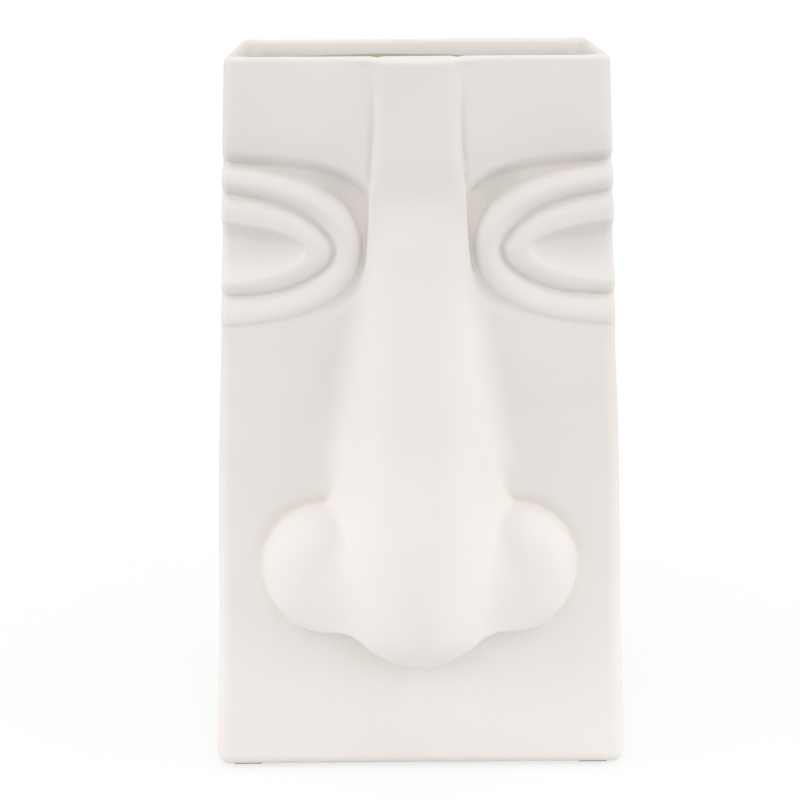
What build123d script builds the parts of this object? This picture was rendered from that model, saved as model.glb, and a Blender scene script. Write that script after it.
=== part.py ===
from build123d import *
from math import atan2, cos, degrees, radians, sin
import os

os.makedirs("parts", exist_ok=True)

# Slip-cast face vase: a tapering ceramic box, open on top, whose front wall carries a long nose
# and two cropped eyes in relief. The origin is the centre of the resting plane, +Z is up and the
# face looks along -Y. All lengths are in millimetres.

# Box of the vase: a straight taper between two rectangles, with rounded edges
height = 240.0
top_width = 123.3
top_depth = 86.0
foot_width = 139.2
foot_depth = 98.0
corner_round = 4.5
foot_round = 4.2
rim_outer_round = 1.6
rim_inner_chamfer = 1.0

# Cast wall, about even all round, also behind the nose and the eyes
wall = 4.6
floor_thickness = 5.5
inner_corner_round = 5.0
floor_chamfer = 3.0
base_recess = 1.0
base_band = 16.0

# Nose: a low ridge leaves the rim and swells from the nasion to the tip
ridge_half_width = 13.3
ridge_crest_half_width = 12.0
ridge_rise = 2.6
nasion_below_rim = 46.0
nasion_half_width = 15.0
nose_half_width = 31.0
nose_crest_half_width = 17.5
nose_rise = 33.0
nose_sink = 2.5
tip_height = 61.0

# Tip: it rounds under from the lower end of the nose, a small step inside it
tip_half_width = 22.0
tip_radius = 16.6
tip_step = 0.4

# Nose wings
wing_radius = 21.0
wing_rise = 14.5
wing_spacing = 64.0
wing_height = 71.5

# Plainer hollows behind the tip and the wings: a chamfered bar and two cones
tip_hollow_end = 7.0
tip_hollow_chamfer = 6.0
wing_hollow_radius = 15.0
wing_hollow_end_radius = 7.0
wing_end_wall = 5.5

# Eye: a socket under the brow, a fold round it, and a lid with a dished middle. Its outlines start
# at a tip beside the nose and run out past the side of the vase, which crops them.
eye_below_rim = 62.4
socket_top_depth = 4.2
socket_low_depth = 0.7
brow_tip_inset = 13.6
brow_rise = 34.0
brow_drop = 26.4
fold_tip_inset = 18.2
fold_rise = 30.7
fold_drop = 25.0
fold_outer_round = 3.6
fold_inner_round = 3.0
lid_tip_inset = 27.2
lid_rise = 20.8
lid_drop = 15.3
lid_round = 2.6
relief_sink = 6.6
relief_drop = 0.3
relief_clearance = 0.35
dish_tip_inset = 36.2
dish_height = 2.0
dish_half_height = 9.4
dish_depth = 3.0

# Shallow upright groove under the nose
groove_radius = 4.0
groove_depth = 0.7
groove_offset = 1.4
groove_top = 44.0

# Protective pads under the base
pad_size = 9.5
pad_thickness = 1.2
pad_inset = 10.4

# One overrun for all cuts
overrun = 12.0

# Points of the eye outlines from the tip outwards, as shares of the outline's reach to the side of
# the vase and of its rise above, or drop below, the line of the eyes. Tangent arcs join them.
brow_upper_shares = ((0.089, 0.618), (0.310, 0.903), (1.0, 1.0))
brow_lower_shares = ((0.066, 0.511), (0.251, 0.814), (1.0, 1.0))
fold_upper_shares = ((0.079, 0.469), (0.301, 0.759), (1.0, 1.0))
fold_lower_shares = ((0.063, 0.464), (0.230, 0.728), (1.0, 1.0))
lid_upper_shares = ((0.040, 0.265), (0.350, 0.765), (1.0, 1.0))
lid_lower_shares = ((0.028, 0.261), (0.166, 0.667), (0.332, 0.869), (1.0, 1.0))

# Sections of the nose from the nasion down: share of the way down to the tip, shares of the nose's
# half-width and of its crest's, and the share of the rise by which the crest's shoulders are
# rounded. The bridge is straight, so the rise follows the height.
nose_station_shares = (
    (0.105, 0.516, 0.543, 0.33),
    (0.350, 0.710, 0.714, 0.33),
    (0.600, 0.900, 0.943, 0.36),
    (0.813, 1.000, 1.000, 0.43),
    (1.000, 0.960, 1.000, 0.52),
)
crest_crown_share = 0.06
ridge_round_share = 0.33

tolerance = 0.01

base_z = pad_thickness
cavity_floor = base_z + floor_thickness
nasion_height = height - nasion_below_rim
eye_height = height - eye_below_rim
taper_run = height - base_z
face_lean = degrees(atan2((foot_depth - top_depth) / 2, taper_run))
eye_drop_total = fold_rise + fold_drop
side_reach = foot_width / 2 + overrun
ridge_end_round = rim_outer_round + ridge_rise
socket_tilt = degrees(atan2(socket_top_depth - socket_low_depth, eye_drop_total))
socket_axis_share = fold_drop / eye_drop_total
socket_axis_depth = socket_low_depth + (socket_top_depth - socket_low_depth) * socket_axis_share


def taper(top, foot, z):
    """A size of the box at a height, on the straight taper through the rim and the foot."""
    return foot + (top - foot) * (z - base_z) / taper_run


def face_y(z):
    """Where the front plane lies at a height."""
    return -taper(top_depth, foot_depth, z) / 2


def side_outline(top, foot, low, high, inset):
    """Corners of an upright trapezoid with the box's taper, drawn in by an inset at its sides."""
    low_half = taper(top, foot, low) / 2 - inset
    high_half = taper(top, foot, high) / 2 - inset
    return (-low_half, low), (low_half, low), (high_half, high), (-high_half, high)


# The front plane at the eyes: local x is the vase's x, local y runs up the face, z points out
face_out = Vector(0, -cos(radians(face_lean)), sin(radians(face_lean)))
eye_plane = Plane(origin=(0, face_y(eye_height), eye_height), x_dir=(1, 0, 0), z_dir=face_out)
crest_plane = eye_plane.offset(-relief_drop)
socket_plane = eye_plane.offset(-socket_axis_depth).rotated((-socket_tilt, 0, 0))
out_of_face = Axis(eye_plane.origin, eye_plane.z_dir)

# The groove is cut by an upright bar in front of the face
groove_plane = Plane(
    origin=(groove_offset, face_y(0), 0), x_dir=(1, 0, 0), z_dir=face_out
).offset(groove_radius - groove_depth)
groove_axis = Axis(groove_plane.origin, groove_plane.y_dir)

# Places of the tip's bar and the wings' balls, from how far they stand out from the face
tip_bar_half_length = tip_half_width - tip_radius
tip_y = face_y(tip_height) - nose_rise + tip_radius + tip_step
wing_ball_radius = (wing_radius**2 + wing_rise**2) / (2 * wing_rise)
wing_y = face_y(wing_height) - wing_rise + wing_ball_radius
wing_centres = [(side * wing_spacing / 2, wing_y, wing_height) for side in (-1, 1)]
wing_hollow_length = wall + nose_sink + wing_rise - wing_end_wall
wing_hollow_offset = wing_ball_radius - wing_end_wall - wing_hollow_length / 2

# The dish in the lid is cut by a bar that leans into the lid towards the side of the vase
dish_radius = (dish_half_height**2 + dish_depth**2) / (2 * dish_depth)
dish_lean = degrees(atan2(dish_depth, top_width / 2 - dish_tip_inset))


def arc_chain(start, points, heading):
    """Tangent arcs from a start through some points, on the current line."""
    for point in points:
        arc = TangentArc(start, point, tangent=heading)
        start, heading = point, arc % 1


def eye_outline(plane, tip_inset, rise, drop, upper_shares, lower_shares):
    """An eye outline on a plane whose origin lies on the line of the eyes."""
    reach = side_reach - tip_inset
    tip = (-tip_inset, 0)
    upper = [(-tip_inset - reach * along, rise * up) for along, up in upper_shares]
    lower = [(-tip_inset - reach * along, -drop * down) for along, down in lower_shares]
    with BuildSketch(plane) as outline:
        with BuildLine():
            arc_chain(tip, upper, (0, 1))
            arc_chain(tip, lower, (0, -1))
            Line(upper[-1], lower[-1])
        make_face()
    return outline.sketch


def lies_on(edge, outline):
    """Whether an edge follows one of an outline's arcs."""
    return edge.geom_type == GeomType.CIRCLE and outline.edges().filter_by(
        lambda arc: arc.distance_to(edge @ 0.5) < tolerance
    )


def nose_sections(stations):
    """Horizontal sections of the nose: straight flanks with a rounded, gently crowned crest."""
    sections = []
    for z, half_width, crest_half_width, rise, round_share in stations:
        flank_run = (half_width - crest_half_width) / rise
        foot_x = half_width + flank_run * nose_sink
        foot_y = face_y(z) + nose_sink
        crest_y = face_y(z) - rise
        shoulder_y = crest_y + crest_crown_share * rise
        with BuildSketch(Plane.XY.offset(z)) as section:
            with BuildLine():
                Line((foot_x, foot_y), (-foot_x, foot_y))
                left_shoulder = (-crest_half_width, shoulder_y)
                right_shoulder = (crest_half_width, shoulder_y)
                Line((-foot_x, foot_y), left_shoulder)
                ThreePointArc(left_shoulder, (0, crest_y), right_shoulder)
                Line(right_shoulder, (foot_x, foot_y))
            make_face()
            shoulders = section.vertices().group_by(Axis.Y)[0]
            fillet(shoulders, round_share * rise)
        sections.append(section.sketch)
    return sections


def hollow_sections(stations):
    """Horizontal sections of the hollow behind the nose, plain trapezoids drawn in by the wall."""
    sections = []
    for z, half_width, crest_half_width, rise, _ in stations:
        foot_x = half_width - wall
        crest_x = crest_half_width - wall
        foot_y = face_y(z) + wall + nose_sink
        crest_y = face_y(z) + wall - rise
        corners = (foot_x, foot_y), (crest_x, crest_y), (-crest_x, crest_y), (-foot_x, foot_y)
        with BuildSketch(Plane.XY.offset(z)) as section:
            Polygon(*corners, align=None)
        sections.append(section.sketch)
    return sections


def backing_outline(plane, tip_inset, rise, drop):
    """Plain outline of the wall behind a socket."""
    corners = (-tip_inset, -drop), (-tip_inset, rise), (-side_reach, rise), (-side_reach, -drop)
    with BuildSketch(plane) as outline:
        Polygon(*corners, align=None)
    return outline.sketch


# Stations of the ridge and the nose: height, half-widths of section and crest, rise, rounding
ridge_stations = [
    (height, ridge_half_width, ridge_crest_half_width, ridge_rise, ridge_round_share),
    (nasion_height, nasion_half_width, ridge_crest_half_width, ridge_rise, ridge_round_share),
]
nose_stations = [
    (
        nasion_height - (nasion_height - tip_height) * down,
        nose_half_width * wide,
        nose_crest_half_width * crest,
        ridge_rise + (nose_rise - ridge_rise) * down,
        round_share,
    )
    for down, wide, crest, round_share in nose_station_shares
]

# The hollow ends a wall's thickness above the lower end of the nose
hollow_stations = [ridge_stations[-1], *nose_stations[1:-1]]
hollow_stations.append((nose_stations[-1][0] + wall, *nose_stations[-1][1:]))

# The outer box, whole and uncarved
with BuildPart() as box:
    with BuildSketch(Plane.XZ):
        Polygon(*side_outline(top_width, foot_width, base_z, height, 0), align=None)
    extrude(amount=foot_depth, both=True)
    with BuildSketch(Plane.YZ):
        Polygon(*side_outline(top_depth, foot_depth, base_z, height, 0), align=None)
    extrude(amount=foot_width, both=True, mode=Mode.INTERSECT)
    corners = box.edges().filter_by(lambda edge: edge.length > taper_run)
    fillet(corners, corner_round)
    fillet(box.faces().sort_by(Axis.Z)[-1].edges(), rim_outer_round)
    fillet(box.faces().sort_by(Axis.Z)[0].edges(), foot_round)

# Both sockets: from the fold's outline on the sloping floor out to the brow's on the face
brow_outline = eye_outline(
    eye_plane, brow_tip_inset, brow_rise, brow_drop, brow_upper_shares, brow_lower_shares
)
socket_outline = eye_outline(
    socket_plane, fold_tip_inset, fold_rise, fold_drop, fold_upper_shares, fold_lower_shares
)
with BuildPart() as sockets:
    loft([socket_outline, brow_outline])
    extrude(brow_outline, amount=overrun)
    mirror(about=Plane.YZ)

# Fold and lid: two rounded pillows, one inside the other, with a crease between them
fold_outline = eye_outline(
    crest_plane,
    fold_tip_inset + relief_clearance,
    fold_rise - relief_clearance,
    fold_drop - relief_clearance,
    fold_upper_shares,
    fold_lower_shares,
)
fold_inner_outline = eye_outline(
    crest_plane, lid_tip_inset, lid_rise, lid_drop, lid_upper_shares, lid_lower_shares
)
lid_outline = eye_outline(
    crest_plane,
    lid_tip_inset + relief_clearance,
    lid_rise - relief_clearance,
    lid_drop - relief_clearance,
    lid_upper_shares,
    lid_lower_shares,
)
with BuildPart() as fold:
    extrude(fold_outline, amount=-relief_sink)
    fold_crest = fold.faces().sort_by(out_of_face)[-1]
    fillet(fold_crest.edges().filter_by(GeomType.CIRCLE), fold_outer_round)
    extrude(fold_inner_outline, amount=-relief_sink, mode=Mode.SUBTRACT)
    fold_crest = fold.faces().filter_by(GeomType.PLANE).sort_by(out_of_face)[-1]
    inner_arcs = fold_crest.edges().filter_by(lambda edge: lies_on(edge, fold_inner_outline))
    fillet(inner_arcs, fold_inner_round)
    mirror(about=Plane.YZ)

with BuildPart() as lid:
    extrude(lid_outline, amount=-relief_sink)
    lid_crest = lid.faces().sort_by(out_of_face)[-1]
    fillet(lid_crest.edges().filter_by(GeomType.CIRCLE), lid_round)
    dish_start = crest_plane.from_local_coords((-dish_tip_inset, dish_height, 0))
    with Locations(crest_plane.shift_origin(dish_start).rotated((0, dish_lean, 0))):
        with Locations((0, 0, dish_radius)):
            Cylinder(dish_radius, 2 * side_reach, rotation=(0, 90, 0), mode=Mode.SUBTRACT)
    mirror(about=Plane.YZ)

# The eyes are cropped by the sides and rounded edges of the box
with BuildPart() as eyes:
    add(fold.part)
    add(lid.part)
    add(box.part, mode=Mode.INTERSECT)

# The nose: ridge and bridge in one loft, with the tip and the wings merged into its lower end
with BuildPart() as nose:
    loft(nose_sections(ridge_stations), ruled=True)
    loft(nose_sections(ridge_stations[-1:] + nose_stations))
    # The ridge's upper end rounds over into the rim
    with BuildSketch(Plane.YZ):
        with BuildLine():
            ridge_y = face_y(height) - ridge_rise
            on_rim = (ridge_y + ridge_end_round, height)
            on_ridge = (ridge_y, height - ridge_end_round)
            RadiusArc(on_rim, on_ridge, -ridge_end_round)
            Polyline(
                on_ridge,
                (ridge_y - overrun, height - ridge_end_round),
                (ridge_y - overrun, height + overrun),
                (ridge_y + ridge_end_round, height + overrun),
                on_rim,
            )
        make_face()
    extrude(amount=2 * ridge_half_width, both=True, mode=Mode.SUBTRACT)
    # The rounded tip is a level bar across the nose with ball ends
    with Locations((0, tip_y, tip_height)):
        Cylinder(tip_radius, 2 * tip_bar_half_length, rotation=(0, 90, 0))
        with Locations((-tip_bar_half_length, 0, 0), (tip_bar_half_length, 0, 0)):
            Sphere(tip_radius, rotation=(90, 0, 0))
    # The wings are balls whose centres lie behind the face
    with Locations(*wing_centres):
        Sphere(wing_ball_radius)

# Behind each socket the front wall is pushed back, so that it keeps its thickness
with BuildPart() as backings:
    backing_brow = backing_outline(eye_plane.offset(-wall), brow_tip_inset, brow_rise, brow_drop)
    backing_fold = backing_outline(socket_plane.offset(-wall), fold_tip_inset, fold_rise, fold_drop)
    loft([backing_fold, backing_brow], ruled=True)
    extrude(backing_brow, amount=wall)
    mirror(about=Plane.YZ)

with BuildPart() as tip_hollow:
    with Locations((0, tip_y, tip_height)):
        Cylinder(tip_radius - wall, 2 * (tip_half_width - tip_hollow_end), rotation=(0, 90, 0))
    chamfer(tip_hollow.edges().filter_by(GeomType.CIRCLE), tip_hollow_chamfer)

# The cavity: the box drawn in by the wall, with plainer hollows behind the nose and its wings
with BuildPart() as cavity:
    cavity_top = height + overrun
    with BuildSketch(Plane.XZ):
        Polygon(*side_outline(top_width, foot_width, cavity_floor, cavity_top, wall), align=None)
    extrude(amount=foot_depth, both=True)
    with BuildSketch(Plane.YZ):
        Polygon(*side_outline(top_depth, foot_depth, cavity_floor, cavity_top, wall), align=None)
    extrude(amount=foot_width, both=True, mode=Mode.INTERSECT)
    inner_corners = cavity.edges().filter_by(lambda edge: edge.length > height - cavity_floor)
    fillet(inner_corners, inner_corner_round)
    chamfer(cavity.faces().sort_by(Axis.Z)[0].edges(), floor_chamfer)
    add(backings.part, mode=Mode.SUBTRACT)
    loft(hollow_sections(hollow_stations), ruled=True)
    add(tip_hollow.part)
    with Locations(*[Location(centre, (90, 0, 0)) for centre in wing_centres]):
        with Locations((0, 0, wing_hollow_offset)):
            Cone(wing_hollow_radius, wing_hollow_end_radius, wing_hollow_length)

# The cast body: the box with its sockets carved, its eyes and nose added, then hollowed
with BuildPart() as vase_body:
    add(box.part)
    add(sockets.part, mode=Mode.SUBTRACT)
    add(eyes.part)
    add(nose.part)
    # Shallow groove under the nose, with a rounded upper end
    with BuildSketch(groove_plane):
        with BuildLine():
            groove_shoulder = (groove_radius, groove_top - groove_radius)
            RadiusArc((0, groove_top), groove_shoulder, groove_radius)
            Polyline(groove_shoulder, (groove_radius, -overrun), (0, -overrun), (0, groove_top))
        make_face()
    revolve(axis=groove_axis, mode=Mode.SUBTRACT)
    add(cavity.part, mode=Mode.SUBTRACT)
    rim = vase_body.faces().filter_by(Axis.Z).sort_by(Axis.Z)[-1]
    chamfer(rim.inner_wires().edges(), rim_inner_chamfer)
    # The base is drawn in slightly inside its foot band
    with BuildSketch(Plane.XY.offset(base_z)):
        RectangleRounded(foot_width - 2 * base_band, foot_depth - 2 * base_band, corner_round)
    extrude(amount=base_recess, mode=Mode.SUBTRACT)
vase_body.part.label = "vase_body"
export_step(vase_body.part, "parts/vase_body.step")

# Protective pads, stuck to the foot band near its corners
pad_x = foot_width / 2 - pad_inset
pad_y = foot_depth / 2 - pad_inset
pad_places = {
    "pad_front_left": (-pad_x, -pad_y),
    "pad_front_right": (pad_x, -pad_y),
    "pad_rear_left": (-pad_x, pad_y),
    "pad_rear_right": (pad_x, pad_y),
}
for pad_name, pad_place in pad_places.items():
    with BuildPart() as pad:
        with BuildSketch():
            with Locations(pad_place):
                Rectangle(pad_size, pad_size)
        extrude(amount=pad_thickness)
    pad.part.label = pad_name
    export_step(pad.part, f"parts/{pad_name}.step")
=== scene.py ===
import math

import bpy
import numpy as np
import openvdb
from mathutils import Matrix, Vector


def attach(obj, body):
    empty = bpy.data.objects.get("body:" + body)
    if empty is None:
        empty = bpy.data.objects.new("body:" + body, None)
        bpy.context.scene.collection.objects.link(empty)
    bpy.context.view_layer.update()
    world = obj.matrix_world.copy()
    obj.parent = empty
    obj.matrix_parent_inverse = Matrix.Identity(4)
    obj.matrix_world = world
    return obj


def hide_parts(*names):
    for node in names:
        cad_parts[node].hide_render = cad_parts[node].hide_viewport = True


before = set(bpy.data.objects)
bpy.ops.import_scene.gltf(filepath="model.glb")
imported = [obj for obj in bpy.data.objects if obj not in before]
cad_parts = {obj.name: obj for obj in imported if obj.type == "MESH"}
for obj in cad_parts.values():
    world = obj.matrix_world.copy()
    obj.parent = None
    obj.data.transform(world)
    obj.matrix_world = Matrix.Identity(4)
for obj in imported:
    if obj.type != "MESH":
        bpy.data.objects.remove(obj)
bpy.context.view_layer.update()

MM = 0.001

# Grid that the vase is worked out on: spacing, lowest and highest corner. All sizes down to
# the studio are in millimetres.
VOXEL = 0.6
GRID_LOW = (-72.0, -84.0, -2.0)
GRID_HIGH = (72.6, 52.0, 243.0)
FIELD_BAND = 5.0
LEAST_SLOPE = 0.35
TINY = 1e-6

# Box of the vase: a straight taper from the foot to the rim
HEIGHT = 240.0
BASE_Z = 1.2
TOP_HALF_WIDTH = 61.65
TOP_HALF_DEPTH = 43.0
FOOT_HALF_WIDTH = 69.6
FOOT_HALF_DEPTH = 49.0
FRONT_EDGE_ROUND = 4.2
BACK_EDGE_ROUND = 4.6
FOOT_ROUND = 4.2

# Beside the eyes the front edges are sharper: radius, and the heights over which it sets in
EYES_EDGE_ROUND = 2.6
EYES_LOW = (142.0, 156.0)
EYES_TOP = (222.0, 208.0)

# Rim, opening out a little to the top
RIM_ROUND = 1.9
RIM_INNER_ROUND = 1.5
RIM_FLARE = 2.2
RIM_FLARE_START = 233.0

# Inside, and the recess under the base
WALL = 4.6
FLOOR_Z = 6.7
FLOOR_ROUND = 4.0
RECESS_HALF_WIDTH = 53.6
RECESS_HALF_DEPTH = 33.0
RECESS_TOP = 2.2
RECESS_ROUND = 0.6

# Upper line of the glaze: height and place of its highest point, and how it sags beside it
GLAZE_LINE = 234.9
GLAZE_MIDDLE = -12.0
GLAZE_SAG = 1.0
GLAZE_REACH = 35.0
GLAZE_SAG_MOST = 4.0
UNGLAZED = -5.0

# The sides are slightly uneven: places and widths of slow swells, and how far they stand out
SWELLS = ((107.0, 26.0, 0.45), (150.0, 16.0, -0.25), (50.0, 18.0, -0.25))

# Shallow upright groove under the nose
GROOVE_X = 1.4
GROOVE_HALF_WIDTH = 4.6
GROOVE_DEPTH = 0.3
GROOVE_TOP = 42.0
GROOVE_FADE = 6.0

# Nose, station by station: height, half-width at the face, half-width of the crest, rise
NOSE_STATIONS = (
    (243.0, 12.3, 10.2, 0.5),
    (228.0, 12.9, 10.6, 1.3),
    (215.0, 13.5, 11.0, 1.9),
    (206.0, 14.0, 11.0, 2.3),
    (200.0, 14.4, 10.8, 1.7),
    (194.0, 15.1, 10.2, 1.5),
    (187.0, 15.4, 9.4, 3.1),
    (180.0, 16.0, 9.2, 5.3),
    (168.0, 17.4, 9.8, 8.2),
    (156.0, 18.6, 11.0, 11.2),
    (143.0, 20.2, 12.4, 14.3),
    (130.0, 21.9, 13.6, 17.4),
    (118.0, 23.7, 14.4, 20.3),
    (107.0, 25.8, 14.8, 23.5),
    (96.0, 28.4, 14.6, 27.0),
    (88.0, 32.0, 14.0, 29.2),
    (80.0, 35.5, 13.2, 30.6),
    (72.0, 37.5, 12.2, 30.9),
    (64.0, 38.0, 11.4, 30.1),
    (58.0, 38.0, 10.6, 28.4),
    (52.0, 38.0, 9.6, 25.4),
    (47.0, 38.0, 8.8, 21.0),
    (43.0, 38.0, 8.2, 16.2),
    (38.0, 38.0, 7.6, 9.4),
)
NASION_Z = 194.0
LEAST_RISE = 0.5
LEAST_FLANK = 0.3
LEAST_CREST = 1.0

# The ridge ends in a round just below the rim
RIDGE_END = 3.2
RIDGE_END_DROP = 4.6

# Beside the eyes the flanks of the nose drop straight: how far out, and heights where they do
SIDE_OUT = 0.6
SIDE_FREE = 20.0
SIDE_LOW = (172.0, 158.0)
SIDE_TOP = (202.0, 212.0)
SIDE_ROUND = 0.6

# Crown across the front of the nose, and its corners
CROWN = 0.3
CROWN_BY_RISE = 0.045
CROWN_MOST = 4.0
CORNER_BY_RISE = 0.42
CORNER_LEAST = 0.8
CORNER_MOST = 10.0
CORNER_BY_CREST = 0.6

# Nose wings, and how softly they merge into the flanks
WING_X = 31.6
WING_Z = 72.2
WING_RADIUS = 20.6
WING_RISE = 16.2
WING_FULLNESS = 2.5
BLEND_TOP = 2.4
BLEND_LOW = 8.0
BLEND_HEIGHTS = (90.0, 70.0)

# Lower edge of the nose, from the tip out along the wings: distance from the middle, and height
LOWER_EDGE = (
    (-3.0, 39.1),
    (0.0, 38.8),
    (3.0, 39.1),
    (8.1, 40.9),
    (11.6, 42.9),
    (16.4, 46.9),
    (21.2, 51.2),
    (25.0, 52.5),
    (30.0, 52.0),
    (38.0, 51.4),
    (60.0, 51.4),
)
TIP_ROUND = 3.2
WING_ROUND = 1.8
TIP_REACH = (22.0, 12.0)

# How softly the nose grows out of the face: tight beside the eyes and the wings
JOIN_TIGHT = 0.6
JOIN_SOFT = 6.0
JOIN_UPPER = (176.0, 146.0)
JOIN_LOWER = (112.0, 94.0)

# Part of the grid that the nose takes up, and the value of its field elsewhere
NOSE_REACH = 60.0
NOSE_BACK = -34.0
NOSE_LOW = 36.0
FAR = 60.0

# Hollow behind the nose and the wings
FLANK_WIDEST = 38.0
HOLLOW_WIDEST = 29.0
HOLLOW_BLEND = 2.0
NOSE_HOLLOW_LOW = 64.6
WING_HOLLOW_LOW = 58.4
HOLLOW_STEP = (19.0, 24.0)

# Outlines of the eye, from the upper line round the inner corner to the lower line:
# distance from the middle of the face, and height
BROW_LINE = (
    (76.0, 211.2),
    (62.3, 210.4),
    (48.0, 209.6),
    (34.6, 207.8),
    (24.0, 204.2),
    (16.6, 199.4),
    (13.6, 194.0),
    (13.2, 184.0),
    (14.6, 172.0),
    (19.0, 161.0),
    (30.0, 154.5),
    (44.0, 151.4),
    (62.0, 150.2),
    (76.0, 150.0),
)
FOLD_LINE = (
    (76.0, 206.9),
    (62.7, 206.1),
    (49.0, 204.0),
    (37.1, 200.6),
    (25.7, 194.7),
    (21.2, 189.5),
    (18.6, 183.0),
    (18.2, 177.7),
    (19.4, 171.7),
    (22.6, 166.1),
    (30.5, 160.2),
    (44.3, 155.6),
    (62.0, 153.4),
    (76.0, 153.0),
)
LID_LINE = (
    (76.0, 197.0),
    (62.8, 196.2),
    (50.0, 194.2),
    (39.4, 190.6),
    (32.6, 186.0),
    (28.2, 181.2),
    (27.2, 177.6),
    (28.6, 173.6),
    (32.8, 169.9),
    (39.7, 166.2),
    (49.0, 163.6),
    (63.4, 162.8),
    (76.0, 162.8),
)
EYE_OUTER = 76.0

# Socket: depth by height, and a pit at its inner corner
SOCKET_DEPTH = (
    (150.0, 0.2),
    (157.0, 0.6),
    (166.0, 1.8),
    (176.0, 3.2),
    (190.0, 4.6),
    (200.0, 5.2),
)
PIT_DEPTH = 2.0
PIT_ACROSS = (36.0, 24.0)
PIT_HEIGHTS = (184.0, 194.0)

# Inner wall behind the socket
BACKING_TIP = 13.6
BACKING_TOP = 211.5
BACKING_LOW = 151.2
BACKING_SLOPE = 4.5

# Brow: how far it reaches down to the socket floor, and how the forehead turns in to it
BROW_REACH = 4.4
BROW_REACH_INNER = -1.4
BROW_INNER = (40.0, 24.0)
BROW_SOFTNESS = 0.3
BROW_TURN = 9.0
BROW_TURN_HEIGHTS = (186.0, 200.0)
BROW_DROP = 0.8

# Outer roll of the lid
FOLD_CREST = 0.6
ARCH_POWER = 0.55
ARCH_SLACK = 0.5
ARCH_SHARES = (0.35, 0.65)
ARCH_HEIGHTS = (180.0, 190.0)

# Inner lid, and the dish in it that opens to the side
LID_DEPTH = 3.8
LID_CREST = 0.4
LID_CREST_IN = 5.0
LID_POWER = 0.7
DISH_TIP = 36.2
DISH_Z = 177.6
DISH_HALF_HEIGHT = 10.6
DISH_DEPTH = 6.0
DISH_DEEPEST = 0.68
DISH_FULL = 8.0

# Forehead, and the fine lines along both sides of its ridge
FOREHEAD_Z = 212.0
FOREHEAD_LEAN = 1.6
RIDGE_LINE_TOP = 12.8
RIDGE_LINE_SLOPE = 0.05
RIDGE_LINE_WIDTH = 1.0
RIDGE_LINE_DEPTH = 1.1
RIDGE_LINE_HEIGHTS = (196.0, 204.0)

# Cheeks, and the groove round the wings
CHEEK_DEPTH = 1.9
CHEEK_Z = 100.0
CHEEK_REACH = 34.0
CHEEK_HEIGHTS = (26.0, 60.0)
WING_GROOVE_DEPTH = 0.9
WING_GROOVE_WIDTH = 2.4
WING_GROOVE_BELOW = 6.0
WING_GROOVE_ABOVE = 12.0

# Softening of the outer relief and of the inner wall, in passes, and their steepest slopes squared
RELIEF_PASSES = 1
LINING_PASSES = 4
RELIEF_STEEPEST = 4.0
LINING_STEEPEST = 1.0

# Studio, in metres: floor, soft boxes with their targets and watts, and the light from around
FLOOR_HALF = 0.4
SOFTBOX_SIZE = 0.7
MIDDLE = (0.0, -0.03, 0.13)
EYE_HEIGHT = (0.0, -0.03, 0.22)
SOFTBOXES = (
    ("softbox_left", (-1.0, -0.3, 0.4), MIDDLE, 3.7),
    ("softbox_right", (1.0, -0.3, 0.4), MIDDLE, 3.7),
    ("softbox_front", (0.0, -1.0, 0.75), EYE_HEIGHT, 1.9),
    ("softbox_top", (0.0, -0.1, 1.2), MIDDLE, 1.6),
)
AROUND_TURN = 0.2
AROUND_BELOW = 0.14
AROUND_ABOVE = 0.78

# Camera at the photograph's viewing angle: place in metres, degrees down and round, millimetres
CAMERA_PLACE = (-0.00615, -0.71416, 0.28942)
CAMERA_DOWN = 13.526
CAMERA_ROUND = -0.419
CAMERA_SENSOR = 36.0
CAMERA_LENS = 94.33


def smoothstep(value, low, high):
    """Eased step from 0 at low to 1 at high."""
    share = np.clip((value - low) / (high - low), 0.0, 1.0)
    return share * share * (3.0 - 2.0 * share)


def smooth_min(a, b, blend):
    """Union of two fields with a soft fillet."""
    share = np.clip(0.5 + 0.5 * (b - a) / blend, 0.0, 1.0)
    return b * (1.0 - share) + a * share - blend * share * (1.0 - share)


def round_max(a, b, radius):
    """Intersection of two fields with a rounded edge."""
    outside = np.sqrt(np.maximum(radius + a, 0.0) ** 2 + np.maximum(radius + b, 0.0) ** 2)
    return np.minimum(-radius, np.maximum(a, b)) + outside


def spline(stations, at):
    """Smooth curve through stations of (place, value...), read at the given places."""
    table = np.array(sorted(stations), float)
    place, values = table[:, 0], table[:, 1:]
    slope = np.gradient(values, place, axis=0)
    index = np.clip(np.searchsorted(place, at) - 1, 0, len(place) - 2)
    span = place[index + 1] - place[index]
    t = np.clip((at - place[index]) / span, 0.0, 1.0)
    columns = []
    for k in range(values.shape[1]):
        start, end = values[index, k], values[index + 1, k]
        m0, m1 = slope[index, k] * span, slope[index + 1, k] * span
        columns.append(
            (2 * t**3 - 3 * t**2 + 1) * start
            + (t**3 - 2 * t**2 + t) * m0
            + (-2 * t**3 + 3 * t**2) * end
            + (t**3 - t**2) * m1
        )
    return columns


def outline(points, steps=10):
    """Catmull-Rom curve through points, closed by a straight line."""
    p = np.array(points, float)
    ends = np.vstack([2 * p[0] - p[1], p, 2 * p[-1] - p[-2]])
    t = np.linspace(0.0, 1.0, steps, endpoint=False)[:, None]
    runs = []
    for a, b, c, d in zip(ends, ends[1:], ends[2:], ends[3:]):
        square = 2 * a - 5 * b + 4 * c - d
        cube = 3 * b - a - 3 * c + d
        runs.append(0.5 * (2 * b + (c - a) * t + square * t**2 + cube * t**3))
    return np.vstack(runs + [p[-1:]])


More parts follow.
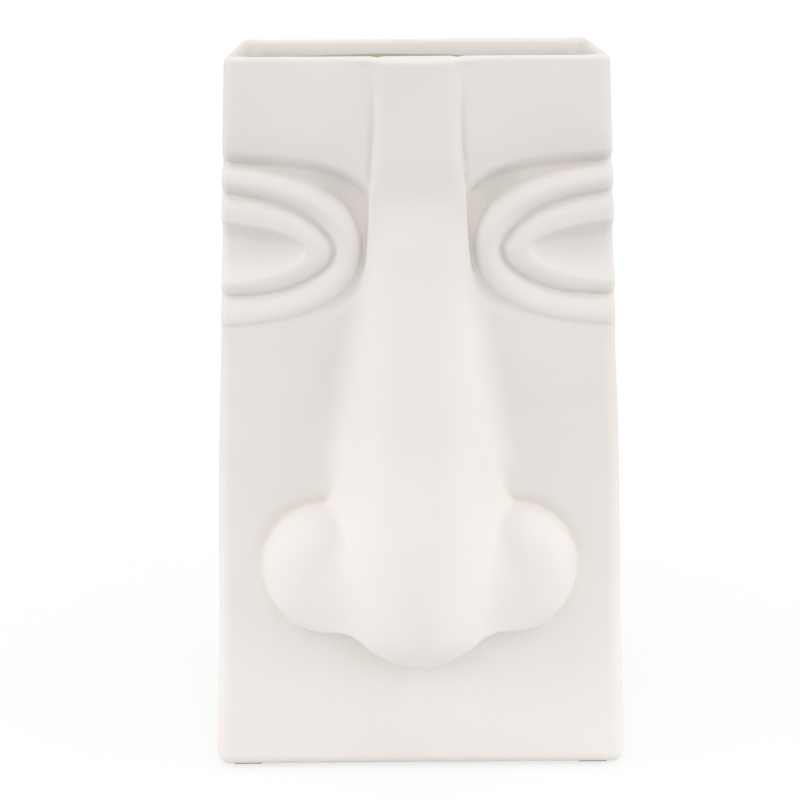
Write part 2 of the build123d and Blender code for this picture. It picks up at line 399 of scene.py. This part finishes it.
def outline_distance(points, u, z):
    """Distance to an eye outline, negative inside it."""
    curve = outline(points)
    best = np.full(u.shape, np.inf)
    inside = np.zeros(u.shape, bool)
    count = len(curve)
    for i in range(count):
        ax, az = curve[i]
        bx, bz = curve[(i + 1) % count]
        if i < count - 1:
            square = (bx - ax) ** 2 + (bz - az) ** 2
            along = ((u - ax) * (bx - ax) + (z - az) * (bz - az)) / square
            along = np.clip(along, 0.0, 1.0)
            off_u = u - ax - along * (bx - ax)
            off_z = z - az - along * (bz - az)
            best = np.minimum(best, off_u**2 + off_z**2)
        if az != bz:
            crosses = ((az > z) != (bz > z)) & (u < ax + (z - az) / (bz - az) * (bx - ax))
            inside ^= crosses
    best = np.sqrt(best)
    return np.where(inside, -best, best)


def soften(values, passes):
    """Blurs a height map by repeated neighbour averages."""
    for _ in range(passes):
        padded = np.pad(values, 1, mode="edge")
        values = (
            padded[:-2, 1:-1] + padded[2:, 1:-1] + padded[1:-1, :-2] + padded[1:-1, 2:] + 4 * values
        ) / 8
    return values


def eye_relief(u, z):
    """Height of the eye and its socket over the plane of the face."""
    brow = outline_distance(BROW_LINE, u, z)
    fold = outline_distance(FOLD_LINE, u, z)
    lid = outline_distance(LID_LINE, u, z)

    # Socket, under the brow
    (socket,) = spline(SOCKET_DEPTH, z)
    socket = socket + PIT_DEPTH * smoothstep(u, *PIT_ACROSS) * smoothstep(z, *PIT_HEIGHTS)
    reach = BROW_REACH + BROW_REACH_INNER * smoothstep(u, *BROW_INNER)
    reach = np.minimum(np.maximum(fold - brow, TINY), reach)
    share = np.clip(-brow / reach, 0.0, 1.0)
    soft = BROW_SOFTNESS
    slope = (np.sqrt(share**2 + soft**2) - soft) / (math.sqrt(1 + soft**2) - soft)
    near = np.clip(1.0 - np.maximum(brow, 0.0) / BROW_TURN, 0.0, 1.0)
    drop = BROW_DROP * (near**2 * smoothstep(z, *BROW_TURN_HEIGHTS))
    relief = -drop - (socket - drop) * slope

    # Outer roll, from the fold line to the lid line
    share = np.clip(-fold / np.maximum(lid - fold, TINY), 0.0, 1.0)
    floor_line = -socket * (1 - share) - LID_DEPTH * share
    power = ARCH_POWER + ARCH_SLACK * smoothstep(share, *ARCH_SHARES) * smoothstep(z, *ARCH_HEIGHTS)
    arch = np.maximum(1.0 - (2.0 * share - 1.0) ** 2, 0.0) ** power
    crest = FOLD_CREST + (socket + LID_DEPTH) / 2
    relief = np.where(fold < 0, floor_line + crest * arch, relief)

    # Inner lid, with the dish
    climb = np.clip(-lid / LID_CREST_IN, 0.0, 1.0)
    bulge = np.maximum(1.0 - (1.0 - climb) ** 2, 0.0) ** LID_POWER
    pillow = -LID_DEPTH + (LID_DEPTH + LID_CREST) * bulge
    along = (EYE_OUTER - u) / (EYE_OUTER - DISH_TIP)
    half = DISH_HALF_HEIGHT * np.sqrt(np.maximum(1.0 - along**2, 0.0))
    up = np.clip((z - DISH_Z + half) / np.maximum(2.0 * half, TINY), 0.0, 1.0)
    bowl = np.minimum(up / DISH_DEEPEST, (1.0 - up) / (1.0 - DISH_DEEPEST))
    bowl = np.where(half > 0.0, bowl, 0.0)
    pillow = pillow - DISH_DEPTH * np.sin(0.5 * np.pi * bowl) * np.minimum(half / DISH_FULL, 1.0)
    return np.where(lid < 0, pillow, relief)


def forehead_relief(z):
    """The forehead leans back towards the rim."""
    return -FOREHEAD_LEAN * np.maximum((z - FOREHEAD_Z) / (HEIGHT - FOREHEAD_Z), 0.0) ** 2


def ridge_relief(u, z):
    """Fine lines along both sides of the ridge."""
    off = u - RIDGE_LINE_TOP - (HEIGHT - z) * RIDGE_LINE_SLOPE
    line = -RIDGE_LINE_DEPTH * np.exp(-((off / RIDGE_LINE_WIDTH) ** 2))
    return line * smoothstep(z, *RIDGE_LINE_HEIGHTS)


def cheek_relief(u, z):
    """Shallow valleys of the cheeks, deepest above the nose wings."""
    valley = -CHEEK_DEPTH * np.exp(-(((z - CHEEK_Z) / CHEEK_REACH) ** 2))
    valley = valley * smoothstep(z, *CHEEK_HEIGHTS)
    off = np.hypot(u - WING_X, z - WING_Z) - WING_RADIUS
    groove = -WING_GROOVE_DEPTH * np.exp(-((off / WING_GROOVE_WIDTH) ** 2))
    return valley + groove * smoothstep(z, WING_Z - WING_GROOVE_BELOW, WING_Z + WING_GROOVE_ABOVE)


def lining_relief(u, z):
    """Height of the inner front wall, pushed back behind each socket, over its own plane."""
    beyond = np.maximum(BACKING_TIP - u, np.maximum(z - BACKING_TOP, BACKING_LOW - z))
    (depth,) = spline(SOCKET_DEPTH, z)
    return -depth * smoothstep(-beyond, 0.0, BACKING_SLOPE)


def groove_relief(x, z):
    """Shallow upright groove under the nose."""
    across = np.maximum(1.0 - ((x - GROOVE_X) / GROOVE_HALF_WIDTH) ** 2, 0.0)
    return -GROOVE_DEPTH * across**2 * smoothstep(z, GROOVE_TOP, GROOVE_TOP - GROOVE_FADE)


def half_width(z):
    """Half the width of the box at a height."""
    up = (z - BASE_Z) / (HEIGHT - BASE_Z)
    swell = sum(out * np.exp(-(((z - middle) / reach) ** 2)) for middle, reach, out in SWELLS)
    return FOOT_HALF_WIDTH + (TOP_HALF_WIDTH - FOOT_HALF_WIDTH) * up + swell


def half_depth(z):
    """Half the depth of the box at a height."""
    up = (z - BASE_Z) / (HEIGHT - BASE_Z)
    return FOOT_HALF_DEPTH + (TOP_HALF_DEPTH - FOOT_HALF_DEPTH) * up


def even_out(field, spacing):
    """Divides a field by its slope, so that it reads as a distance near its surface."""
    gx, gy, gz = np.gradient(field, spacing)
    return field / np.maximum(np.sqrt(gx * gx + gy * gy + gz * gz), LEAST_SLOPE)


def nose_field(x, z, rise, widest, blend):
    """Nose and wings as one field, over x, z and the height above the face."""
    base, crest, peak = (c.astype(np.float32) for c in spline(NOSE_STATIONS, z))
    base = np.minimum(base, widest)
    ending = np.clip((z - HEIGHT + RIDGE_END) / RIDGE_END, 0.0, 1.0)
    peak = peak - RIDGE_END_DROP * (1.0 - np.sqrt(1.0 - ending**2))
    u = np.abs(x)

    # Flanks, straight down beside the eyes
    slope = np.maximum(peak, LEAST_RISE) / np.maximum(base - crest, LEAST_FLANK)
    flank = ((u - base) * slope + rise) / np.sqrt(1.0 + slope**2)
    free = smoothstep(z, *SIDE_LOW) + smoothstep(z, *SIDE_TOP)
    side = u - base - SIDE_OUT - SIDE_FREE * free
    flank = round_max(flank, side, SIDE_ROUND)

    # Crowned front, rounded into the flanks
    crown = (CROWN + CROWN_BY_RISE * peak) * (u / np.maximum(crest, LEAST_CREST)) ** 2
    front = rise - peak + CROWN_MOST * (1.0 - np.exp(-crown / CROWN_MOST))
    corner = np.clip(CORNER_BY_RISE * peak, CORNER_LEAST, CORNER_MOST)
    corner = np.minimum(corner, CORNER_BY_CREST * crest)
    body = even_out(round_max(flank, front, corner), VOXEL)

    # Wings, and the lower edge that ends both
    full = WING_FULLNESS
    around = np.sqrt((u - WING_X) ** 2 + (z - WING_Z) ** 2) / WING_RADIUS
    span = (around**full + (np.abs(rise) / WING_RISE) ** full) ** (1.0 / full)
    wing = even_out((span - 1.0) * WING_RISE, VOXEL)
    shape = smooth_min(body, wing, BLEND_TOP + blend * smoothstep(z, *BLEND_HEIGHTS))
    (edge,) = spline(LOWER_EDGE, u)
    under = even_out((edge - z).astype(np.float32), VOXEL)
    edge_round = WING_ROUND + (TIP_ROUND - WING_ROUND) * smoothstep(u, *TIP_REACH)
    return round_max(shape, under, edge_round)


def vase_fields():
    """Field of the whole cast body on a grid, a field of its inner wall, and their origin."""
    xs, ys, zs = (
        np.arange(low, high, VOXEL, dtype=np.float32) for low, high in zip(GRID_LOW, GRID_HIGH)
    )
    width = half_width(zs)[None, None, :]
    depth = half_depth(zs)[None, None, :]
    x = xs[:, None, None]
    y = ys[None, :, None]
    z = zs[None, None, :]

    # Height maps of the face and of the wall behind it
    x2, z2 = np.meshgrid(xs, zs, indexing="ij")
    u2 = np.abs(x2)
    lining = soften(lining_relief(u2, z2) + forehead_relief(z2), LINING_PASSES)
    relief = eye_relief(u2, z2) + cheek_relief(u2, z2) + groove_relief(x2, z2)
    relief = soften(relief + forehead_relief(z2) + ridge_relief(u2, z2), RELIEF_PASSES)

    def front(heights, steepest):
        gx, gz = np.gradient(heights, VOXEL)
        steep = np.sqrt(1.0 + np.minimum(gx**2 + gz**2, steepest)).astype(np.float32)
        return (-depth - heights.astype(np.float32)[:, None, :] - y) / steep[:, None, :]

    # Nose, worked out only where it is
    rise = np.broadcast_to(-depth - y, (len(xs), len(ys), len(zs)))
    ix = slice(int(np.searchsorted(xs, -NOSE_REACH)), int(np.searchsorted(xs, NOSE_REACH)))
    iy = slice(0, int(np.searchsorted(ys, NOSE_BACK)))
    iz = slice(int(np.searchsorted(zs, NOSE_LOW)), len(zs))

    def nose_grid(widest, blend):
        field = np.full(rise.shape, FAR, np.float32)
        near = rise[ix, iy, iz]
        across = np.broadcast_to(x[ix], near.shape)
        up = np.broadcast_to(z[:, :, iz], near.shape)
        field[ix, iy, iz] = nose_field(across, up, near, widest, blend)
        return field

    # Outer form
    nose = nose_grid(FLANK_WIDEST, BLEND_LOW)
    join = JOIN_TIGHT + JOIN_SOFT * smoothstep(zs, *JOIN_UPPER)
    join = join - JOIN_SOFT * smoothstep(zs, *JOIN_LOWER)
    join = join.astype(np.float32)[None, None, :]
    sides = np.abs(x) - width
    back = y - depth
    eyes = smoothstep(z, *EYES_LOW) * smoothstep(z, *EYES_TOP)
    edge_round = FRONT_EDGE_ROUND + (EYES_EDGE_ROUND - FRONT_EDGE_ROUND) * eyes
    outer = round_max(smooth_min(front(relief, RELIEF_STEEPEST), nose, join), sides, edge_round)
    outer = round_max(outer, back, BACK_EDGE_ROUND)

    # Inner wall, one wall inside, with the hollow of the nose and the flare at the rim
    low = NOSE_HOLLOW_LOW + (WING_HOLLOW_LOW - NOSE_HOLLOW_LOW) * smoothstep(u2, *HOLLOW_STEP)
    ends = np.maximum(z2 - NASION_Z + WALL, low - z2 - WALL)
    hollow = np.maximum(nose_grid(HOLLOW_WIDEST, 0.0), ends.astype(np.float32)[:, None, :])
    inner = smooth_min(front(lining, LINING_STEEPEST), hollow, HOLLOW_BLEND)
    inner = round_max(inner, sides, FRONT_EDGE_ROUND + WALL)
    flare = RIM_FLARE * smoothstep(z, RIM_FLARE_START, 2.0 * HEIGHT - RIM_FLARE_START) * 2.0
    inner = round_max(inner, back, BACK_EDGE_ROUND + WALL) + WALL - flare
    inner = round_max(inner, FLOOR_Z - z, FLOOR_ROUND)

    # Shell, cut at the rim and the foot, with its mouth and the recess under the base
    body = round_max(outer, z - HEIGHT, RIM_ROUND)
    body = round_max(body, BASE_Z - z, FOOT_ROUND)
    body = round_max(body, -inner, RIM_INNER_ROUND)
    recess = np.maximum(np.abs(x) - RECESS_HALF_WIDTH, np.abs(y) - RECESS_HALF_DEPTH)
    recess = np.maximum(recess, z - RECESS_TOP)
    body = round_max(body, -recess, RECESS_ROUND)
    return body.astype(np.float32), inner.astype(np.float32), np.array([xs[0], ys[0], zs[0]])


def mesh_object(name, points, faces_by_size):
    """Mesh object from points in metres and arrays of faces."""
    mesh = bpy.data.meshes.new(name)
    faces = [f for f in faces_by_size if len(f)]
    loops = np.concatenate([f.ravel() for f in faces]).astype(np.int32)
    totals = np.concatenate([np.full(len(f), f.shape[1]) for f in faces]).astype(np.int32)
    starts = np.concatenate([[0], np.cumsum(totals)[:-1]]).astype(np.int32)
    mesh.vertices.add(len(points))
    mesh.vertices.foreach_set("co", points.astype(np.float32).ravel())
    mesh.loops.add(len(loops))
    mesh.loops.foreach_set("vertex_index", loops)
    mesh.polygons.add(len(totals))
    mesh.polygons.foreach_set("loop_start", starts)
    mesh.update(calc_edges=True)
    mesh.validate()
    mesh.shade_smooth()
    piece = bpy.data.objects.new(name, mesh)
    bpy.context.scene.collection.objects.link(piece)
    return piece


def sample(field, origin, points):
    """Field values at points, from the eight grid nodes round each."""
    at = (points - origin) / VOXEL
    low = np.clip(np.floor(at).astype(int), 0, np.array(field.shape) - 2)
    part = at - low
    total = np.zeros(len(points))
    for dx in (0, 1):
        for dy in (0, 1):
            for dz in (0, 1):
                weight = (
                    (part[:, 0] if dx else 1 - part[:, 0])
                    * (part[:, 1] if dy else 1 - part[:, 1])
                    * (part[:, 2] if dz else 1 - part[:, 2])
                )
                total += weight * field[low[:, 0] + dx, low[:, 1] + dy, low[:, 2] + dz]
    return total


def cast_body():
    """The cast vase, meshed from its field."""
    body, inner, origin = vase_fields()
    grid = openvdb.FloatGrid(FIELD_BAND)
    grid.copyFromArray(np.clip(body / VOXEL, -FIELD_BAND, FIELD_BAND))
    points, triangles, quads = grid.convertToPolygons(isovalue=0.0, adaptivity=0.0)
    places = points.astype(float) * VOXEL + origin
    piece = mesh_object("cast_vase", places * MM, (triangles[:, ::-1], quads[:, ::-1]))

    # Depth below the upper line of the glaze, for the points of the inner wall
    lining = np.abs(sample(inner, origin, places)) < 1.0
    sag = np.minimum(((places[:, 0] - GLAZE_MIDDLE) / GLAZE_REACH) ** 2, GLAZE_SAG_MOST)
    depth = np.where(lining, GLAZE_LINE - GLAZE_SAG * sag - places[:, 2], UNGLAZED)
    glaze = piece.data.attributes.new("glaze_depth", "FLOAT", "POINT")
    glaze.data.foreach_set("value", depth.astype(np.float32))
    return piece


def node_tree(name):
    """New material with its nodes and a shader output."""
    material = bpy.data.materials.new(name)
    material.use_nodes = True
    nodes, links = material.node_tree.nodes, material.node_tree.links
    nodes.clear()
    out = nodes.new("ShaderNodeOutputMaterial")
    return material, nodes, links, out


def noise(nodes, links, coordinates, scale, detail, roughness=0.5):
    """Noise texture on given coordinates."""
    node = nodes.new("ShaderNodeTexNoise")
    node.inputs["Scale"].default_value = scale
    node.inputs["Detail"].default_value = detail
    node.inputs["Roughness"].default_value = roughness
    links.new(coordinates, node.inputs["Vector"])
    return node.outputs["Fac"]


def ramp(nodes, links, value, stops):
    """Colour ramp with (place, colour) stops."""
    node = nodes.new("ShaderNodeValToRGB")
    while len(node.color_ramp.elements) < len(stops):
        node.color_ramp.elements.new(0.5)
    for element, (place, colour) in zip(node.color_ramp.elements, stops):
        element.position = place
        element.color = (*colour, 1.0)
    links.new(value, node.inputs["Fac"])
    return node.outputs["Color"]


def bisque_material():
    """Matt off-white ceramic with a fine grain, glazed on the inside below the lip."""
    material, nodes, links, out = node_tree("bisque")
    place = nodes.new("ShaderNodeTexCoord").outputs["Object"]
    shader = nodes.new("ShaderNodeBsdfPrincipled")
    shader.inputs["Roughness"].default_value = 0.72
    shader.inputs["Specular IOR Level"].default_value = 0.25
    cloud = noise(nodes, links, place, 22.0, 3.0)
    body_colour = ramp(
        nodes, links, cloud, ((0.3, (0.785, 0.745, 0.715)), (0.7, (0.81, 0.775, 0.75)))
    )
    links.new(body_colour, shader.inputs["Base Color"])
    grain = noise(nodes, links, place, 900.0, 3.0, 0.6)
    bump = nodes.new("ShaderNodeBump")
    bump.inputs["Strength"].default_value = 0.12
    bump.inputs["Distance"].default_value = 0.0004
    links.new(grain, bump.inputs["Height"])
    links.new(bump.outputs["Normal"], shader.inputs["Normal"])

    glaze = nodes.new("ShaderNodeBsdfPrincipled")
    glaze.inputs["Roughness"].default_value = 0.22
    glaze.inputs["IOR"].default_value = 1.5
    shade = noise(nodes, links, place, 35.0, 3.0)
    glaze_colour = ramp(nodes, links, shade, ((0.3, (0.46, 0.4, 0.27)), (0.7, (0.55, 0.49, 0.35))))
    links.new(glaze_colour, glaze.inputs["Base Color"])
    depth = nodes.new("ShaderNodeAttribute")
    depth.attribute_name = "glaze_depth"
    wander = noise(nodes, links, place, 60.0, 2.0)
    edge = nodes.new("ShaderNodeMath")
    edge.operation = "ADD"
    links.new(depth.outputs["Fac"], edge.inputs[0])
    links.new(wander, edge.inputs[1])
    mask = nodes.new("ShaderNodeMapRange")
    mask.inputs["From Min"].default_value = 0.3
    mask.inputs["From Max"].default_value = 0.8
    links.new(edge.outputs["Value"], mask.inputs["Value"])
    mix = nodes.new("ShaderNodeMixShader")
    links.new(mask.outputs["Result"], mix.inputs["Fac"])
    links.new(shader.outputs["BSDF"], mix.inputs[1])
    links.new(glaze.outputs["BSDF"], mix.inputs[2])
    links.new(mix.outputs["Shader"], out.inputs["Surface"])
    return material


def pad_material():
    """Soft pad with a fibrous surface; its dark colour is felt and also painted contact shadow
    under the base corners.
    """
    material, nodes, links, out = node_tree("pad_felt_painted_shadow")
    place = nodes.new("ShaderNodeTexCoord").outputs["Object"]
    shader = nodes.new("ShaderNodeBsdfPrincipled")
    shader.inputs["Roughness"].default_value = 0.9
    fibre = noise(nodes, links, place, 1400.0, 4.0, 0.7)
    # Dark felt colour, partly painted shadow: the darkness stands in for the contact shadow under
    # the base corners
    colour = ramp(nodes, links, fibre, ((0.35, (0.05, 0.045, 0.04)), (0.65, (0.1, 0.09, 0.08))))
    links.new(colour, shader.inputs["Base Color"])
    bump = nodes.new("ShaderNodeBump")
    bump.inputs["Strength"].default_value = 0.5
    bump.inputs["Distance"].default_value = 0.0004
    links.new(fibre, bump.inputs["Height"])
    links.new(bump.outputs["Normal"], shader.inputs["Normal"])
    links.new(shader.outputs["BSDF"], out.inputs["Surface"])
    return material


def floor_material():
    """White floor that keeps a soft shadow."""
    material, nodes, links, out = node_tree("studio_floor")
    plain = nodes.new("ShaderNodeBsdfDiffuse")
    plain.inputs["Color"].default_value = (0.9, 0.9, 0.9, 1.0)
    glow = nodes.new("ShaderNodeEmission")
    glow.inputs["Color"].default_value = (1.0, 1.0, 1.0, 1.0)
    glow.inputs["Strength"].default_value = 1.0
    place = nodes.new("ShaderNodeTexCoord").outputs["Object"]
    far = nodes.new("ShaderNodeVectorMath")
    far.operation = "LENGTH"
    links.new(place, far.inputs[0])
    fade = nodes.new("ShaderNodeMapRange")
    fade.interpolation_type = "SMOOTHSTEP"
    fade.inputs["From Min"].default_value = 0.07
    fade.inputs["From Max"].default_value = 0.3
    fade.inputs["To Min"].default_value = 0.75
    links.new(far.outputs["Value"], fade.inputs["Value"])
    seen = nodes.new("ShaderNodeMixShader")
    links.new(fade.outputs["Result"], seen.inputs["Fac"])
    links.new(plain.outputs["BSDF"], seen.inputs[1])
    links.new(glow.outputs["Emission"], seen.inputs[2])
    path = nodes.new("ShaderNodeLightPath")
    camera_or_gloss = nodes.new("ShaderNodeMath")
    camera_or_gloss.operation = "MAXIMUM"
    links.new(path.outputs["Is Camera Ray"], camera_or_gloss.inputs[0])
    links.new(path.outputs["Is Glossy Ray"], camera_or_gloss.inputs[1])
    mix = nodes.new("ShaderNodeMixShader")
    links.new(camera_or_gloss.outputs["Value"], mix.inputs["Fac"])
    links.new(plain.outputs["BSDF"], mix.inputs[1])
    links.new(seen.outputs["Shader"], mix.inputs[2])
    links.new(mix.outputs["Shader"], out.inputs["Surface"])
    return material


def area_light(name, location, target, size, power):
    """Square soft light aimed at a point."""
    data = bpy.data.lights.new(name, "AREA")
    data.shape = "SQUARE"
    data.size = size
    data.energy = power
    light = bpy.data.objects.new(name, data)
    light.location = location
    light.rotation_euler = (Vector(target) - Vector(location)).to_track_quat("-Z", "Y").to_euler()
    bpy.context.scene.collection.objects.link(light)


def studio_world():
    """White backdrop for the camera, and softer light from around, darker from below."""
    world = bpy.data.worlds.new("studio")
    world.use_nodes = True
    nodes, links = world.node_tree.nodes, world.node_tree.links
    nodes.clear()
    surround = nodes.new("ShaderNodeBackground")
    surround.inputs["Color"].default_value = (1.0, 1.0, 1.0, 1.0)
    height = nodes.new("ShaderNodeSeparateXYZ")
    links.new(nodes.new("ShaderNodeTexCoord").outputs["Generated"], height.inputs["Vector"])
    level = nodes.new("ShaderNodeMapRange")
    level.inputs["From Min"].default_value = -AROUND_TURN
    level.inputs["From Max"].default_value = AROUND_TURN
    level.inputs["To Min"].default_value = AROUND_BELOW
    level.inputs["To Max"].default_value = AROUND_ABOVE
    links.new(height.outputs["Z"], level.inputs["Value"])
    links.new(level.outputs["Result"], surround.inputs["Strength"])
    backdrop = nodes.new("ShaderNodeBackground")
    backdrop.inputs["Color"].default_value = (1.0, 1.0, 1.0, 1.0)
    backdrop.inputs["Strength"].default_value = 1.0
    path = nodes.new("ShaderNodeLightPath")
    mix = nodes.new("ShaderNodeMixShader")
    world_out = nodes.new("ShaderNodeOutputWorld")
    links.new(path.outputs["Is Camera Ray"], mix.inputs["Fac"])
    links.new(surround.outputs["Background"], mix.inputs[1])
    links.new(backdrop.outputs["Background"], mix.inputs[2])
    links.new(mix.outputs["Shader"], world_out.inputs["Surface"])
    return world


def studio_camera():
    """Camera at the photograph's viewing angle."""
    data = bpy.data.cameras.new("camera")
    data.sensor_width = CAMERA_SENSOR
    data.lens = CAMERA_LENS
    camera = bpy.data.objects.new("camera", data)
    camera.location = CAMERA_PLACE
    camera.rotation_mode = "ZYX"
    camera.rotation_euler = (math.radians(90.0 - CAMERA_DOWN), 0.0, math.radians(CAMERA_ROUND))
    bpy.context.scene.collection.objects.link(camera)
    return camera


vase = cast_body()
vase.data.materials.append(bisque_material())
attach(vase, "root")
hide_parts("vase_body")

# Pads under the base get the dark felt, whose colour is partly painted contact shadow under the
# corners
pad_felt_painted_shadow = pad_material()
for node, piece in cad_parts.items():
    if node.startswith("pad_"):
        piece.data.materials.clear()
        piece.data.materials.append(pad_felt_painted_shadow)

corners = [(-1, -1, 0), (1, -1, 0), (1, 1, 0), (-1, 1, 0)]
floor = mesh_object("studio_floor", np.array(corners) * FLOOR_HALF, (np.array([(0, 1, 2, 3)]),))
floor.data.materials.append(floor_material())

bpy.context.scene.world = studio_world()
for name, place, target, power in SOFTBOXES:
    area_light(name, place, target, SOFTBOX_SIZE, power)
bpy.context.scene.camera = studio_camera()
bpy.context.scene.view_settings.view_transform = "Standard"
